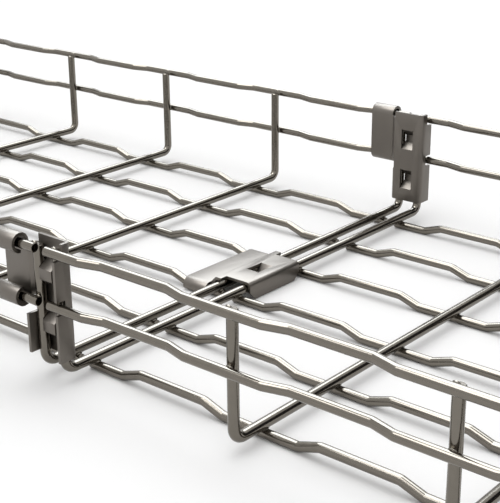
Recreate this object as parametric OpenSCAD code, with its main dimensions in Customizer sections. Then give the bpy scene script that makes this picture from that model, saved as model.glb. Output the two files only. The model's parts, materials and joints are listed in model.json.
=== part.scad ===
// Wire mesh cable basket: two stock lengths joined end to end by three
// folded clip-on couplers. X runs along the basket, Y across it, Z up, with
// the origin under the middle of the joint, level with the floor wires'
// underside. Every wire and every folded sheet is a strip of even width that
// follows a line, given its other dimension by an extrusion.

/* [Stock length] */
// Length of one basket, from wire end to wire end
stock_length = 3000; // [2800:50:3100]
// Number of bays between the cross wires of one basket
bay_count = 30; // [27:3:30]
// How far the long wires run past the first and last cross wire
end_overhang = 3; // [2.5:0.25:4]

/* [Cross section] */
// Overall width, outside the side wires
basket_width = 300; // [200:50:400]
// Overall height, from the floor wires' underside to the top of the rim
basket_height = 66; // [64:1:72]
// Spacing of the floor wires
floor_spacing = 50; // [50:1:56]
// Number of floor wires
floor_wires = 6; // [4:2:6]
// Height of the middle side wire above the cross wires
mid_height = 32; // [31:0.5:33]
// Inside radius of the two bends in a cross wire
bend_radius = 3; // [2.5:0.5:4]

/* [Wire] */
// Diameter of the drawn wire
wire_d = 5; // [4.8:0.1:5]
// Distance between the axes of two wires that are welded together
weld_step = 4.3; // [4.1:0.1:4.3]

/* [Waves] */
// Height of the wave in a floor wire
floor_wave = 3.6; // [0:0.1:4]
// Height of the wave in a side wire
side_wave = 3; // [0:0.1:3.5]
// Straight stretch past each cross wire, before the wave
wave_start = 18; // [12:1:24]
// Straight stretch short of the next cross wire, after the wave
wave_end = 22; // [22:1:28]
// Length of each sloping stretch
wave_ramp = 11; // [8:1:14]

/* [Couplers] */
// Distance between the two end cross wires at the joint
joint_gap = 13; // [12.5:0.25:14]
// Thickness of the couplers' sheet steel
sheet = 1.5; // [1.2:0.1:1.5]
// Play between the sheet and the wires
play = 0.1; // [0.05:0.05:0.2]
// Radius inside a fold
fold_radius = 1; // [0.5:0.25:1]
// Overall depth of a flange
flange_depth = 10; // [8:0.5:10]
// Web of a wall coupler, above the middle of its flag
web_above = 16.4; // [15:0.2:17]
// Web of a wall coupler, below the middle of its flag
web_below = 38.6; // [35:0.2:39]
// Length of the floor coupler's web, across the basket
floor_web = 41; // [36:1:42]
// How far a flag reaches past the end cross wire
flag_reach = 22; // [16:1:22]
// Length of a lanced bridge, and of the opening it is cut from
bridge_length = 12.6; // [11:0.2:14]
// Length of the flat crown of a bridge
bridge_crown = 4.4; // [3:0.2:5]
// Distance between the two bridges of a wall coupler
bridge_spacing = 25; // [22:0.5:26]
// Clear radius inside a curled hook
hook_radius = 3.3; // [3.2:0.05:3.4]
// Angle that a wall coupler's hooks curl through
wall_curl = 270; // [180:15:285]
// Angle that the floor coupler's hooks curl through
floor_curl = 105; // [90:15:120]

/* [Hidden] */

wire_colour = "#8f8a80";
sheet_colour = "#7a746c";

// The wires are four-sided bars with the area of the round wire
wire_r = wire_d/2;
bar = wire_r*sqrt(PI);
bay = (stock_length - 2*end_overhang)/bay_count;
floor_z = bar/2;
cross_z = floor_z + weld_step;
rim_z = basket_height - bar/2;
mid_z = cross_z + mid_height;
side_y = basket_width/2 - bar/2;
leg_y = side_y - weld_step;
bend_r = bend_radius + wire_r;

// Each basket is cut mid-bay into three runs; these are the cuts, in bays
cuts = [0, bay_count/3 + 0.5, 2*bay_count/3 + 0.5, bay_count];

// Bends of one bay, as [place along the bay, share of the wave's height]
bends = [
  [wave_start, 0], [wave_start + wave_ramp, 1],
  [bay - wave_end - wave_ramp, 1], [bay - wave_end, 0]
];

// Couplers: along the run, and in depth from the inside face of the web
flange_x = joint_gap/2 + wire_r + play + sheet/2;
fold_r = fold_radius + sheet/2;
neck_x = flange_x - fold_r/2;
flag_x = joint_gap/2 + flag_reach;
leg_depth = sheet + play + wire_r;
wire_depth = leg_depth + weld_step;
hook_r = hook_radius + sheet/2;
flag_depth = wire_depth - hook_r;
bridge_depth = leg_depth + wire_r - sheet/2;
bridge_width = joint_gap - wire_d - 0.6;
notch = wire_r + 0.7;
flag_half = (rim_z - mid_z)/2;

// ---------- Strips along a line ----------

function unit(v) = v/norm(v);
function across(v) = [-v.y, v.x];
// Points of a line moved sideways by s, with mitred corners
function beside(line, s) = [
  for (i = [0:len(line) - 1])
    let (
      n1 = across(unit(line[max(i, 1)] - line[max(i, 1) - 1])),
      n2 = across(unit(line[min(i + 1, len(line) - 1)] - line[min(i, len(line) - 2)]))
    )
    line[i] + s*(n1 + n2)/(1 + n1*n2)
];
function reversed(line) = [for (i = [len(line) - 1:-1:0]) line[i]];
function arc(centre, r, from, to, steps = 6) = [
  for (i = [0:steps])
    let (a = from + (to - from)*i/steps)
    centre + r*[cos(a), sin(a)]
];

module strip(line, width)
  polygon(concat(beside(line, width/2), reversed(beside(line, -width/2))));

// ---------- Baskets ----------

// Line of a waved wire between two of the cuts, in place along its basket
function waved(run, height) =
  let (
    from = cuts[run],
    to = cuts[run + 1],
    first = run == 0,
    last = run == len(cuts) - 2
  )
  concat(
    [first ? [-end_overhang, 0] : [from*bay, height]],
    [
      for (i = [0:bay_count - 1], b = bends)
        let (x = i*bay + b.x)
        if (x > from*bay && x < to*bay) [x, b.y*height]
    ],
    [last ? [to*bay + end_overhang, 0] : [to*bay, height]]
  );

// A floor wire waves upwards, and a side wire waves inwards
module floor_wire(run, y)
  translate([0, y, floor_z])
    rotate([90, 0, 0])
      linear_extrude(bar, center = true)
        strip(waved(run, floor_wave), bar);

module side_wire(run, side, z)
  translate([0, side*side_y, z])
    linear_extrude(bar, center = true)
      strip(waved(run, -side*side_wave), bar);

// A cross wire is bent to a U, and its legs end at the rim wires
module cross_wire()
  rotate([90, 0, 90])
    linear_extrude(bar, center = true)
      strip(concat(
        [[-leg_y, rim_z]],
        arc([-leg_y + bend_r, cross_z + bend_r], bend_r, 180, 270),
        arc([leg_y - bend_r, cross_z + bend_r], bend_r, 270, 360),
        [[leg_y, rim_z]]
      ), bar);

// One run of welded mesh, between two of the cuts
module mesh_run(run)
  color(wire_colour)
    union() {
      for (i = [0:bay_count])
        if (i >= cuts[run] && i <= cuts[run + 1])
          translate([i*bay, 0, 0]) cross_wire();
      for (i = [0:floor_wires - 1])
        floor_wire(run, (i - (floor_wires - 1)/2)*floor_spacing);
      for (side = [-1, 1], z = [mid_z, rim_z])
        side_wire(run, side, z);
    }

module basket_one(run)
  translate([-joint_gap/2 - bay_count*bay, 0, 0]) mesh_run(run);

module basket_two(run)
  translate([joint_gap/2, 0, 0]) mesh_run(run);

module basket_one_far_end() basket_one(0);
module basket_one_middle() basket_one(1);
module basket_one_joint_end() basket_one(2);
module basket_two_joint_end() basket_two(0);
module basket_two_middle() basket_two(1);
module basket_two_far_end() basket_two(2);

// ---------- Couplers ----------
// A coupler is drawn with X along the run, Y as depth towards the wires and
// Z along its web; z = 0 is the middle of its flag.

// Half of the channel, from the middle of the web round to a flange
module channel_half(side)
  strip(concat(
    [[0, sheet/2]],
    [
      for (p = arc([flange_x - fold_r, sheet/2 + fold_r], fold_r, 270, 360))
        [side*p.x, p.y]
    ],
    [[side*flange_x, flange_depth]]
  ), sheet);

// The web runs out sideways, steps back to the long wires and is the flag
module flag_section()
  strip([
    [0, sheet/2], [-neck_x, sheet/2],
    [-neck_x - flag_depth + sheet/2, flag_depth], [-flag_x, flag_depth]
  ], sheet);

// A strap lanced from the web and pushed out between the two cross wires
module bridge()
  rotate([0, 90, 0])
    linear_extrude(bridge_width, center = true)
      strip([
        [-bridge_length/2 - 1, sheet/2], [-bridge_length/2, sheet/2],
        [-bridge_crown/2, bridge_depth], [bridge_crown/2, bridge_depth],
        [bridge_length/2, sheet/2], [bridge_length/2 + 1, sheet/2]
      ], sheet);

// A hook curls from the flag's edge round a long wire
module hook(side, half, curl)
  translate([-flag_x, wire_depth, side*half])
    mirror([0, 0, side > 0 ? 0 : 1])
      rotate([90, 0, 90])
        linear_extrude(flag_x - neck_x - flag_depth)
          strip(concat(
            [[-hook_r, -1]], arc([0, 0], hook_r, 180, 180 - curl, ceil(curl/22.5))
          ), sheet);

// Folded coupler: above and below are the ends of the web, half is the half
// spacing of the two long wires that it hooks, and flank is the length of
// the flange on the flag's side
module coupler(above, below, half, curl, bridges, flank)
  difference() {
    union() {
      difference() {
        union() {
          translate([0, 0, -below]) linear_extrude(above + below) channel_half(1);
          if (flank > 0)
            translate([0, 0, -below]) linear_extrude(flank) channel_half(-1);
          translate([0, 0, -below + flank])
            linear_extrude(above + below - flank)
              translate([-neck_x, 0]) square([neck_x, sheet]);
        }
        for (z = bridges)
          translate([0, sheet/2, z])
            cube([bridge_width + 0.6, 2*sheet, bridge_length], center = true);
      }
      for (z = bridges) translate([0, 0, z]) bridge();
      intersection() {
        translate([0, 0, -half]) linear_extrude(2*half) flag_section();
        translate([-flag_x, 0, -half])
          cube([flag_x - bridge_width/2 - 2, flange_depth, 2*half]);
      }
      for (side = [-1, 1]) hook(side, half, curl);
    }
    children();
  }

// A wall coupler's flange is notched where the long wires pass it
module wall_coupler()
  coupler(
    web_above, web_below, flag_half, wall_curl,
    [0, -bridge_spacing], web_below - flag_half - hook_r - 2*sheet
  ) {
    translate([flange_x - fold_r, wire_depth - notch, flag_half - notch])
      cube([2*fold_r, flange_depth, web_above]);
    translate([flange_x - fold_r, wire_depth - notch, -flag_half - notch])
      cube([2*fold_r, flange_depth, 2*notch]);
  }

module left_wall_coupler()
  color(sheet_colour)
    translate([0, leg_y - leg_depth, (rim_z + mid_z)/2]) wall_coupler();

module right_wall_coupler()
  color(sheet_colour)
    mirror([0, 1, 0])
      translate([0, leg_y - leg_depth, (rim_z + mid_z)/2]) wall_coupler();

// The floor coupler lies on the two end cross wires, its flange hanging down
module floor_coupler()
  color(sheet_colour)
    translate([0, 0, cross_z + leg_depth])
      rotate([-90, 0, 0])
        coupler(floor_web/2, floor_web/2, floor_spacing/2, floor_curl, [0], 0)
          for (side = [-1, 1])
            translate([flange_x, flange_depth, side*floor_web/2])
              rotate([45, 0, 0]) cube([4*sheet, 6, 6], center = true);

basket_one_far_end();
basket_one_middle();
basket_one_joint_end();
basket_two_joint_end();
basket_two_middle();
basket_two_far_end();
left_wall_coupler();
right_wall_coupler();
floor_coupler();
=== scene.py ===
import json
import math

import bpy
from mathutils import Matrix, Vector

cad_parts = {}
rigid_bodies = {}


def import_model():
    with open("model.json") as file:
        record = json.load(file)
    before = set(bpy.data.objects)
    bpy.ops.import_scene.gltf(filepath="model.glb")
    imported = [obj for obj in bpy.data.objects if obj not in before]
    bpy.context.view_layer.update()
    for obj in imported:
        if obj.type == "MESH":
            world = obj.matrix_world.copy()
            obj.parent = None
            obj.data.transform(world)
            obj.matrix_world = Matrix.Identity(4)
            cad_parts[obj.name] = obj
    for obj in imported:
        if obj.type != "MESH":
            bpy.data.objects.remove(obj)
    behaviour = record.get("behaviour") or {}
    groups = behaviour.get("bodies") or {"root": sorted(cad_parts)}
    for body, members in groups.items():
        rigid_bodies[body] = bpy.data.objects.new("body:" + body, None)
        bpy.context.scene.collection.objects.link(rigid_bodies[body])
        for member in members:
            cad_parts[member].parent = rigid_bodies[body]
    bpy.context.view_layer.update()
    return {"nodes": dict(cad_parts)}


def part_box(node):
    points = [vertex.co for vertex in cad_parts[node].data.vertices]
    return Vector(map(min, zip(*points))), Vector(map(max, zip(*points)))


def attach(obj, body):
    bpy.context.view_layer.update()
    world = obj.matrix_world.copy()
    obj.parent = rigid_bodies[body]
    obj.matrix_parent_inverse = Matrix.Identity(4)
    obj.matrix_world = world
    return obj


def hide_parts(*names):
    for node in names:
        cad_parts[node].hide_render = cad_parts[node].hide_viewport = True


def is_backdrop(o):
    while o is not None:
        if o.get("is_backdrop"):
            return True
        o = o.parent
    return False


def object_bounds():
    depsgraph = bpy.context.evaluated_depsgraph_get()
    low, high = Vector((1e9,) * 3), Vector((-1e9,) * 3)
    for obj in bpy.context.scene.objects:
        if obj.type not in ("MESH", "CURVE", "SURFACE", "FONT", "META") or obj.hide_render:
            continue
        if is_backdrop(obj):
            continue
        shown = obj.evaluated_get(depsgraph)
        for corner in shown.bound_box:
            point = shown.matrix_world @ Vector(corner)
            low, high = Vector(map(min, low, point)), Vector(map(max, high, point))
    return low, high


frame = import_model()

bl_info = {
    "name": "Wire Mesh Cable Basket",
    "version": (1, 0, 0),
    "blender": (4, 5, 0),
    "location": "3D View > Sidebar > Cable Basket",
    "description": "Drawn wires, welds, couplers and finishes of a joined run of cable basket",
    "category": "Object",
}

# Nodes and places that come from the frame
FIRST = ("basket_one_far_end", "basket_one_middle", "basket_one_joint_end")
SECOND = ("basket_two_joint_end", "basket_two_middle", "basket_two_far_end")
COUPLERS = ("left_wall_coupler", "right_wall_coupler", "floor_coupler")
RUN_LOW, RUN_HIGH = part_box(SECOND[0])[0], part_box(SECOND[2])[1]
START_ONE, START_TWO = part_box(FIRST[0])[0].x, RUN_LOW.x

# Small shapes, in metres
LEG_STUB = 0.001  # Top of a cross wire's leg, drawn with its cut end
BEAD, BEAD_DEPTH = 0.0023, 0.0011  # Half sizes of a weld bead, along the wires and between them
BROKEN_EDGE = 0.00025  # Worn off the couplers' edges
BRIDGE_SIDE = 0.0039  # Half of a bridge's width, and a margin

# Shares and counts
WORN_RIM = 0.07  # Rim of a cut end, to the wire's diameter
END_REACH = 0.55  # Reach that takes in a wire's last ring, to its diameter
BRIDGE_WIDENING = 1.07
KINK_STEPS, BEND_STEPS = 2, 8  # Rings round a bend
CLOUD_LOW, CLOUD_HIGH = 0.92, 1.08  # Tone of the finish in its clouds


# ---------- Sizes and colours ----------


def length(name, description, default):
    """A size in metres."""
    return bpy.props.FloatProperty(
        name=name, description=description, default=default, unit="LENGTH"
    )


def count(name, description, default, least):
    """A whole number with a lower limit."""
    return bpy.props.IntProperty(name=name, description=description, default=default, min=least)


def colour(name, description, default):
    """A colour as sRGB hex."""
    return bpy.props.StringProperty(
        name=name, description=description + ", as sRGB hex", default=default
    )


class BasketSizes(bpy.types.PropertyGroup):
    """Sizes of the welded mesh and of the couplers' sheet"""

    wire: length("Cross wire", "Diameter of a cross wire", 0.005)
    long_wire: length("Long wire", "Diameter of a floor or side wire", 0.0045)
    weld_step: length("Weld step", "Between the axes of two welded wires", 0.0043)
    bays: count("Bays", "Bays between the cross wires of one basket", 30, 1)
    overhang: length("Overhang", "Long wire past the end cross wires", 0.003)
    floor_wires: count("Floor wires", "Number of long wires in the floor", 6, 2)
    floor_spacing: length("Floor spacing", "Between two floor wires", 0.05)
    mid_height: length("Middle wire", "Middle side wire above the cross wires", 0.032)
    bend_radius: length("Bend", "Radius on the axis of a cross wire's bend", 0.0055)
    floor_wave: length("Floor wave", "Height of a floor wire's wave", 0.0036)
    side_wave: length("Side wave", "Depth of a side wire's wave", 0.003)
    wave_start: length("Wave start", "Straight wire past a cross wire", 0.018)
    wave_end: length("Wave end", "Straight wire before the next cross wire", 0.022)
    wave_ramp: length("Wave ramp", "Run of a sloping stretch", 0.011)
    sheet: length("Sheet", "Thickness of the couplers' sheet", 0.0015)
    kink_radius: length("Kink", "Radius on the axis of a bend in a wave", 0.0034)
    sides: count("Sides", "Faces round a wire", 14, 8)


class BasketFinish(bpy.types.PropertyGroup):
    """Colours of the finishes"""

    wire: colour("Wire", "Drawn wire", "#757068")
    sheet: colour("Sheet", "Rolled sheet", "#716C66")
    floor: colour("Floor", "Floor", "#F8F8F8")


def linear(text):
    """An sRGB hex colour as linear values."""
    parts = [int(text[i : i + 2], 16) / 255 for i in (1, 3, 5)]
    return [p / 12.92 if p <= 0.04045 else ((p + 0.055) / 1.055) ** 2.4 for p in parts] + [1.0]


def node(tree, kind, links=(), **settings):
    """Adds a node with its settings and links. A link is (socket of this node, other socket)."""
    made = tree.nodes.new(kind)
    for key, value in settings.items():
        if key.startswith("in_"):
            made.inputs[key[3:].replace("_", " ")].default_value = value
        else:
            setattr(made, key, value)
    for socket, other in links:
        tree.links.new(other, made.inputs[socket])
    return made


# ---------- Finishes ----------


def zinc_plated(name, tint, lines, clouds, roughness, relief):
    """Zinc plated steel: metal with fine lines in it and clouds that shift its tone and gloss.

    lines is how fast the lines change on each axis, clouds their scale and detail, roughness
    the least and the most, and relief the strength of the lines.
    """
    material = bpy.data.materials.new(name)
    material.use_nodes = True
    tree = material.node_tree
    shader = tree.nodes["Principled BSDF"]
    shader.inputs["Metallic"].default_value = 1.0
    place = node(tree, "ShaderNodeTexCoord").outputs["Object"]

    lines_at = node(tree, "ShaderNodeMapping", [("Vector", place)], in_Scale=lines).outputs[0]
    line = node(tree, "ShaderNodeTexNoise", [("Vector", lines_at)], in_Scale=1.0, in_Detail=2.0)
    bump = node(
        tree,
        "ShaderNodeBump",
        [("Height", line.outputs[0])],
        in_Strength=relief,
        in_Distance=0.00003,
    )
    tree.links.new(bump.outputs[0], shader.inputs["Normal"])

    scale, detail = clouds
    cloud = node(
        tree, "ShaderNodeTexNoise", [("Vector", place)], in_Scale=scale, in_Detail=detail
    ).outputs[0]
    tone = node(tree, "ShaderNodeMix", [("Factor", cloud)], data_type="RGBA")
    # A Mix node's two colours are its sockets 6 and 7
    for socket, shade in ((6, CLOUD_LOW), (7, CLOUD_HIGH)):
        tone.inputs[socket].default_value = [min(1, c * shade) for c in linear(tint)[:3]] + [1]
    tree.links.new(tone.outputs[2], shader.inputs["Base Color"])

    least, most = roughness
    rough = node(
        tree,
        "ShaderNodeMapRange",
        [("Value", cloud)],
        in_From_Min=0.3,
        in_From_Max=0.7,
        in_To_Min=least,
        in_To_Max=most,
    )
    tree.links.new(rough.outputs[0], shader.inputs["Roughness"])
    return material


def zinc_plated_wire(name, tint, along):
    """Drawn wire: satin metal, with die lines that run along the wire."""
    # Die lines are about 0.3 mm apart and some 30 mm long, clouds a few millimetres across
    fine, long = 3300, 33
    lines = (long, fine, fine) if along == "X" else (fine, long, fine)
    return zinc_plated(name, tint, lines, (260.0, 4.0), (0.12, 0.18), 0.12)


def rolled_sheet(name, tint):
    """Cold rolled sheet: dull satin metal, with faint rolling lines and wider clouds."""
    return zinc_plated(name, tint, (2500, 2500, 60), (90.0, 5.0), (0.36, 0.44), 0.15)


def dull(name, tint, specular):
    """A rough material of one colour, for the stage."""
    material = bpy.data.materials.new(name)
    material.use_nodes = True
    shader = material.node_tree.nodes["Principled BSDF"]
    shader.inputs["Base Color"].default_value = tint
    shader.inputs["Roughness"].default_value = 1.0
    shader.inputs["Specular IOR Level"].default_value = specular
    return material


# ---------- Modelling ----------


def only(*objects):
    """Selects these objects and nothing else."""
    if bpy.context.object and bpy.context.object.mode != "OBJECT":
        bpy.ops.object.mode_set(mode="OBJECT")
    bpy.ops.object.select_all(action="DESELECT")
    for item in objects:
        item.hide_set(False)
        item.select_set(True)
    bpy.context.view_layer.objects.active = objects[0]


def pick(shape, chosen):
    """Selects the points that a test chooses, and leaves the shape in edit mode."""
    only(shape)
    bpy.ops.object.mode_set(mode="EDIT")
    bpy.ops.mesh.select_mode(type="VERT")
    bpy.ops.mesh.select_all(action="DESELECT")
    bpy.ops.object.mode_set(mode="OBJECT")
    for vertex in shape.data.vertices:
        vertex.select = chosen(vertex.co)
    bpy.ops.object.mode_set(mode="EDIT")


class Wire:
    """A wire drawn out of a ring of points, straight on or round a bend."""

    def __init__(self, start, heading, diameter):
        self.sizes = bpy.context.scene.basket_sizes
        self.at, self.heading = Vector(start), Vector(heading)
        bpy.ops.object.select_all(action="DESELECT")
        bpy.ops.mesh.primitive_circle_add(
            vertices=self.sizes.sides,
            radius=diameter / 2,
            fill_type="NOTHING",
            location=start,
            rotation=self.heading.to_track_quat("Z", "X").to_euler(),
        )
        bpy.ops.object.transform_apply(location=True, rotation=True, scale=True)
        self.shape = bpy.context.object
        bpy.ops.object.mode_set(mode="EDIT")
        bpy.ops.mesh.select_all(action="SELECT")

    def straight(self, distance):
        """Draws the wire straight on."""
        step = self.heading * distance
        bpy.ops.mesh.extrude_region_move(TRANSFORM_OT_translate={"value": step})
        self.at += step

    def bend(self, axis, angle, radius, steps):
        """Turns the heading by the right-hand rule; the spin tool counts the other way."""
        axis = Vector(axis)
        centre = self.at + axis.cross(self.heading) * radius
        bpy.ops.mesh.spin(steps=steps, angle=-angle, center=centre, axis=axis)
        turn = Matrix.Rotation(angle, 3, axis)
        self.at = centre + turn @ (self.at - centre)
        self.heading = turn @ self.heading

    def wave(self, height):
        """One bay of a waved wire: up a sloping stretch, along, and down again."""
        sizes = self.sizes
        slope = math.atan2(height, sizes.wave_ramp)
        trim = sizes.kink_radius * math.tan(slope / 2)
        ramp = math.hypot(height, sizes.wave_ramp) - 2 * trim
        crest = bay_length() - sizes.wave_start - sizes.wave_end
        crest = crest - 2 * sizes.wave_ramp - 2 * trim
        up, down = (0, -1, 0), (0, 1, 0)
        self.straight(sizes.wave_start - trim)
        for axis, stretch in (
            (up, ramp),
            (down, crest),
            (down, ramp),
            (up, sizes.wave_end - trim),
        ):
            self.bend(axis, slope, sizes.kink_radius, KINK_STEPS)
            self.straight(stretch)


class WirePlaces:
    """Heights and half widths of the wires' axes, from the frame and the sizes."""

    def __init__(self):
        sizes = bpy.context.scene.basket_sizes
        # The frame's bars are square, with the area of the round wire
        half_bar = sizes.wire * math.sqrt(math.pi) / 4
        self.floor_z = RUN_LOW.z + half_bar
        self.cross_z = self.floor_z + sizes.weld_step
        self.mid_z = self.cross_z + sizes.mid_height
        self.rim_z = RUN_HIGH.z - half_bar
        self.side_y = RUN_HIGH.y - half_bar
        self.leg_y = self.side_y - sizes.weld_step


def bay_length():
    """Spacing of the cross wires, from the length of one basket."""
    sizes = bpy.context.scene.basket_sizes
    return (RUN_HIGH.x - RUN_LOW.x - 2 * sizes.overhang) / sizes.bays


def cut_end(shape, place, outward, overhang, diameter):
    """Carries a wire's last ring outwards and closes it with a cut that has a worn rim."""
    place, outward, rim = Vector(place), Vector(outward), diameter * WORN_RIM
    pick(shape, lambda point: (point - place).length < diameter * END_REACH)
    bpy.ops.mesh.extrude_region_move(TRANSFORM_OT_translate={"value": outward * (overhang - rim)})
    bpy.ops.mesh.extrude_region_move(TRANSFORM_OT_translate={"value": outward * rim})
    shrink = 1 - 2 * rim / diameter
    bpy.ops.transform.resize(value=(shrink,) * 3, center_override=place + outward * overhang)
    bpy.ops.mesh.edge_face_add()
    bpy.ops.object.mode_set(mode="OBJECT")


def repeat(shape, times, merge):
    """Repeats a shape bay by bay along the run and applies the repeat."""
    only(shape)
    rows = shape.modifiers.new("bays", "ARRAY")
    rows.count = times
    rows.use_relative_offset = False
    rows.use_constant_offset = True
    rows.constant_offset_displace = (bay_length(), 0, 0)
    rows.use_merge_vertices = merge
    rows.merge_threshold = 1e-5
    bpy.ops.object.modifier_apply(modifier=rows.name)
    return shape


def copy_to(shape, place, turn=0.0):
    """A copy with its own mesh, turned about X and moved, with both applied."""
    only(shape)
    bpy.ops.object.duplicate(linked=False)
    made = bpy.context.object
    made.rotation_euler = (turn, 0, 0)
    made.location = place
    bpy.ops.object.transform_apply(location=True, rotation=True, scale=True)
    return made


def widen_bridges(clip, name):
    """Widens the lanced bridges until they stand close between the two round legs."""
    low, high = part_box(name)
    depths = {
        "left_wall_coupler": lambda point: point.y - low.y,
        "right_wall_coupler": lambda point: high.y - point.y,
        "floor_coupler": lambda point: high.z - point.z,
    }
    past_web = bpy.context.scene.basket_sizes.sheet * 1.1
    pick(clip, lambda point: abs(point.x) < BRIDGE_SIDE and depths[name](point) > past_web)
    bpy.ops.transform.resize(value=(BRIDGE_WIDENING, 1, 1), center_override=(0, 0, 0))
    bpy.ops.object.mode_set(mode="OBJECT")


def outward_faces(shape, flat=0.0):
    """Joins points that meet, and flat faces up to an angle, and turns every face outwards."""
    only(shape)
    bpy.ops.object.mode_set(mode="EDIT")
    bpy.ops.mesh.select_all(action="SELECT")
    bpy.ops.mesh.remove_doubles(threshold=1e-6)
    if flat:
        bpy.ops.mesh.dissolve_limited(angle_limit=flat)
    bpy.ops.mesh.normals_make_consistent(inside=False)
    bpy.ops.object.mode_set(mode="OBJECT")


def long_wire(height):
    """A waved wire of the whole basket, on the X axis."""
    sizes = bpy.context.scene.basket_sizes
    wire = Wire((0, 0, 0), (1, 0, 0), sizes.long_wire)
    wire.wave(height)
    bpy.ops.object.mode_set(mode="OBJECT")
    shape = repeat(wire.shape, sizes.bays, True)
    for x, outward in ((0, -1), (sizes.bays * bay_length(), 1)):
        cut_end(shape, (x, 0, 0), (outward, 0, 0), sizes.overhang, sizes.long_wire)
    return shape


def cross_wires():
    """The U-shaped cross wires of one basket."""
    sizes = bpy.context.scene.basket_sizes
    at = WirePlaces()
    top = at.rim_z - LEG_STUB
    leg = at.rim_z - at.cross_z - sizes.bend_radius
    wire = Wire((0, -at.leg_y, top), (0, 0, -1), sizes.wire)
    wire.straight(leg - LEG_STUB)
    for stretch in (2 * (at.leg_y - sizes.bend_radius), leg - LEG_STUB):
        wire.bend((1, 0, 0), math.pi / 2, sizes.bend_radius, BEND_STEPS)
        wire.straight(stretch)
    bpy.ops.object.mode_set(mode="OBJECT")
    for side in (-1, 1):
        cut_end(wire.shape, (0, side * at.leg_y, top), (0, 0, 1), LEG_STUB, sizes.wire)
    return repeat(wire.shape, sizes.bays + 1, False)


def weld(place, size):
    """A row of weld beads, where metal upset by the weld fills the crossing of two wires."""
    bpy.ops.object.select_all(action="DESELECT")
    bpy.ops.mesh.primitive_uv_sphere_add(
        segments=8, ring_count=6, radius=1, location=place, scale=size
    )
    bpy.ops.object.transform_apply(location=True, rotation=True, scale=True)
    return repeat(bpy.context.object, bpy.context.scene.basket_sizes.bays + 1, False)


# ---------- Operators ----------


class BASKET_OT_lengths(bpy.types.Operator):
    """Draws the waved long wires, cross wires and welds of both baskets"""

    bl_idname = "basket.lengths"
    bl_label = "Add Basket Lengths"

    def execute(self, context):
        sizes = context.scene.basket_sizes
        finish = context.scene.basket_finish
        at = WirePlaces()
        along = zinc_plated_wire("Zinc plated wire, along", finish.wire, "X")
        over = zinc_plated_wire("Zinc plated wire, across", finish.wire, "Y")

        floor_master, side_master = long_wire(sizes.floor_wave), long_wire(sizes.side_wave)
        wires, crossings = [], []
        for i in range(sizes.floor_wires):
            y = (i - (sizes.floor_wires - 1) / 2) * sizes.floor_spacing
            wires.append(copy_to(floor_master, (0, y, at.floor_z)))
            between = (0, y, (at.floor_z + at.cross_z) / 2)
            crossings.append((between, (BEAD, BEAD, BEAD_DEPTH)))
        for side in (-1, 1):
            for z in (at.mid_z, at.rim_z):
                place = (0, side * at.side_y, z)
                wires.append(copy_to(side_master, place, side * math.pi / 2))
                between = (0, side * (at.side_y + at.leg_y) / 2, z)
                crossings.append((between, (BEAD, BEAD_DEPTH, BEAD)))
        for wire in wires:
            wire.data.materials.append(along)
        cross = cross_wires()
        beads = [weld(place, size) for place, size in crossings]
        for shape in (cross, *beads):
            shape.data.materials.append(over)
        only(floor_master, side_master)
        bpy.ops.object.delete()

        only(*wires, cross, *beads)
        bpy.ops.object.join()
        first = context.object
        outward_faces(first)
        first.name = "basket_one"
        first.location.x = START_ONE + sizes.overhang
        bpy.ops.object.transform_apply(location=True, rotation=True, scale=True)
        bpy.ops.object.shade_smooth_by_angle(angle=math.radians(35))
        second = copy_to(first, (START_TWO - START_ONE, 0, 0))
        second.name = "basket_two"
        for basket, nodes in ((first, FIRST), (second, SECOND)):
            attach(basket, "root")
            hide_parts(*nodes)
        return {"FINISHED"}


class BASKET_OT_couplers(bpy.types.Operator):
    """Gives the folded couplers their broken edges and their finish"""

    bl_idname = "basket.couplers"
    bl_label = "Finish Couplers"

    def execute(self, context):
        sheet = rolled_sheet("Zinc plated sheet", context.scene.basket_finish.sheet)
        for name in COUPLERS:
            only(frame["nodes"][name])
            bpy.ops.object.duplicate(linked=False)
            clip = context.object
            # The copy is a piece of its own, so it drops the marks of the node
            for key in list(clip.keys()):
                del clip[key]
            clip.name = name + "_sheet"
            bpy.ops.object.parent_clear(type="CLEAR_KEEP_TRANSFORM")
            outward_faces(clip, math.radians(1))
            widen_bridges(clip, name)
            edge = clip.modifiers.new("broken edges", "BEVEL")
            edge.width = BROKEN_EDGE
            edge.segments = 2
            edge.limit_method = "ANGLE"
            edge.angle_limit = math.radians(40)
            bpy.ops.object.modifier_apply(modifier=edge.name)
            bpy.ops.object.shade_smooth_by_angle(angle=math.radians(30))
            clip.data.materials.clear()
            clip.data.materials.append(sheet)
            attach(clip, "root")
            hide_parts(name)
        return {"FINISHED"}


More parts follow.
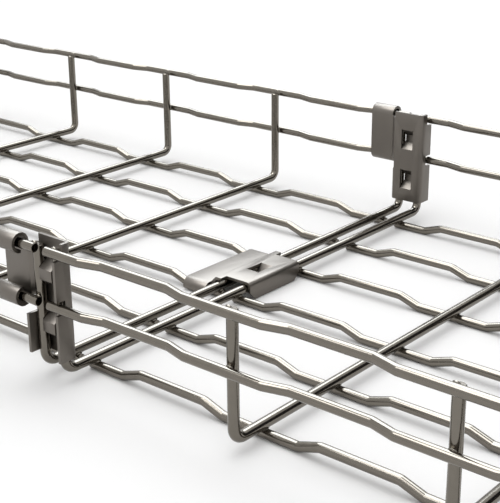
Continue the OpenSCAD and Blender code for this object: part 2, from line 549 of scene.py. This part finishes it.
class BASKET_OT_stage(bpy.types.Operator):
    """Sets the pale floor, the soft lights, the dark curtain and the camera"""

    bl_idname = "basket.stage"
    bl_label = "Set Stage"

    def execute(self, context):
        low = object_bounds()[0]
        bpy.ops.object.select_all(action="DESELECT")
        bpy.ops.mesh.primitive_plane_add(size=60, location=(0, 0, low.z))
        floor = context.object
        floor.name = "floor"
        paper = dull("White paper", linear(context.scene.basket_finish.floor), 0.0)
        floor.data.materials.append(paper)
        floor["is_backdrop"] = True

        # The backdrop is white wherever it is seen, and lights dull things a little less
        world = bpy.data.worlds.new("Studio")
        context.scene.world = world
        world.use_nodes = True
        tree = world.node_tree
        sky = tree.nodes["Background"]
        sky.inputs["Color"].default_value = (1, 1, 1, 1)
        diffuse = node(tree, "ShaderNodeLightPath").outputs["Is Diffuse Ray"]
        level = node(tree, "ShaderNodeMix", [("Factor", diffuse)], in_A=1.0, in_B=0.86)
        tree.links.new(level.outputs[0], sky.inputs["Strength"])

        # Two softboxes overhead make the gloss, and a weaker lamp the shadows
        for name, aim, width, power, tint in (
            ("left softbox", (-0.42, 0.45, 0.79), 52, 4.0, (0.86, 0.93, 1.0)),
            ("top softbox", (-0.25, -0.33, 0.91), 38, 2.2, (0.95, 0.97, 1.0)),
            ("key", (-0.3, 0.1, 0.95), 60, 0.9, (1.0, 1.0, 1.0)),
        ):
            aim = Vector(aim)
            bpy.ops.object.light_add(type="SUN", location=aim)
            lamp = context.object
            lamp.name = name
            lamp.data.energy, lamp.data.angle, lamp.data.color = power, math.radians(width), tint
            lamp.rotation_euler = aim.to_track_quat("Z", "Y").to_euler()
            lamp.visible_diffuse = name == "key"
            lamp.visible_glossy = name != "key"

        # A dark curtain past the second basket gives the metal its dark bands
        away, distance = Vector((0.65, 0.76, 0)), 5
        width, height = 12, 3.2
        bpy.ops.object.select_all(action="DESELECT")
        bpy.ops.mesh.primitive_plane_add(
            size=1,
            location=away * distance + Vector((0, 0, low.z + height / 2)),
            rotation=away.to_track_quat("Z", "Y").to_euler(),
        )
        curtain = context.object
        curtain.name = "curtain"
        curtain.scale = (width, height, 1)
        curtain.visible_camera = curtain.visible_shadow = curtain.visible_diffuse = False
        curtain.data.materials.append(dull("Black cloth", (0.02, 0.02, 0.02, 1), 0.5))
        curtain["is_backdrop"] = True

        # The lens looks down into the joint from beside the second basket
        bpy.ops.object.camera_add(location=(0.3848, -0.4595, 0.2454))
        camera = context.object
        camera.data.lens = 86.1
        camera.data.clip_start, camera.data.clip_end = 0.02, 100
        turn, tilt, roll = (
            Matrix.Rotation(math.radians(angle), 3, axis)
            for angle, axis in ((40.44, "Z"), (69.37, "X"), (-0.46, "Z"))
        )
        camera.rotation_euler = (turn @ tilt @ roll).to_euler()
        context.scene.camera = camera
        context.scene.view_settings.view_transform = "Standard"
        return {"FINISHED"}


class BASKET_PT_panel(bpy.types.Panel):
    """Lists the steps that build the run, and the sizes and colours"""

    bl_idname = "BASKET_PT_panel"
    bl_label = "Cable Basket"
    bl_space_type = "VIEW_3D"
    bl_region_type = "UI"
    bl_category = "Cable Basket"

    def draw(self, context):
        for step in STEPS:
            self.layout.operator(step.bl_idname)
        for group in (context.scene.basket_sizes, context.scene.basket_finish):
            for name in group.bl_rna.properties.keys():
                if name not in ("rna_type", "name"):
                    self.layout.prop(group, name)


STEPS = (BASKET_OT_lengths, BASKET_OT_couplers, BASKET_OT_stage)
CLASSES = (BasketSizes, BasketFinish, *STEPS, BASKET_PT_panel)


def register():
    for item in CLASSES:
        bpy.utils.register_class(item)
    bpy.types.Scene.basket_sizes = bpy.props.PointerProperty(type=BasketSizes)
    bpy.types.Scene.basket_finish = bpy.props.PointerProperty(type=BasketFinish)


def unregister():
    del bpy.types.Scene.basket_finish
    del bpy.types.Scene.basket_sizes
    for item in reversed(CLASSES):
        bpy.utils.unregister_class(item)


def main():
    register()
    bpy.ops.basket.lengths()
    bpy.ops.basket.couplers()
    bpy.ops.basket.stage()


if __name__ == "__main__":
    main()
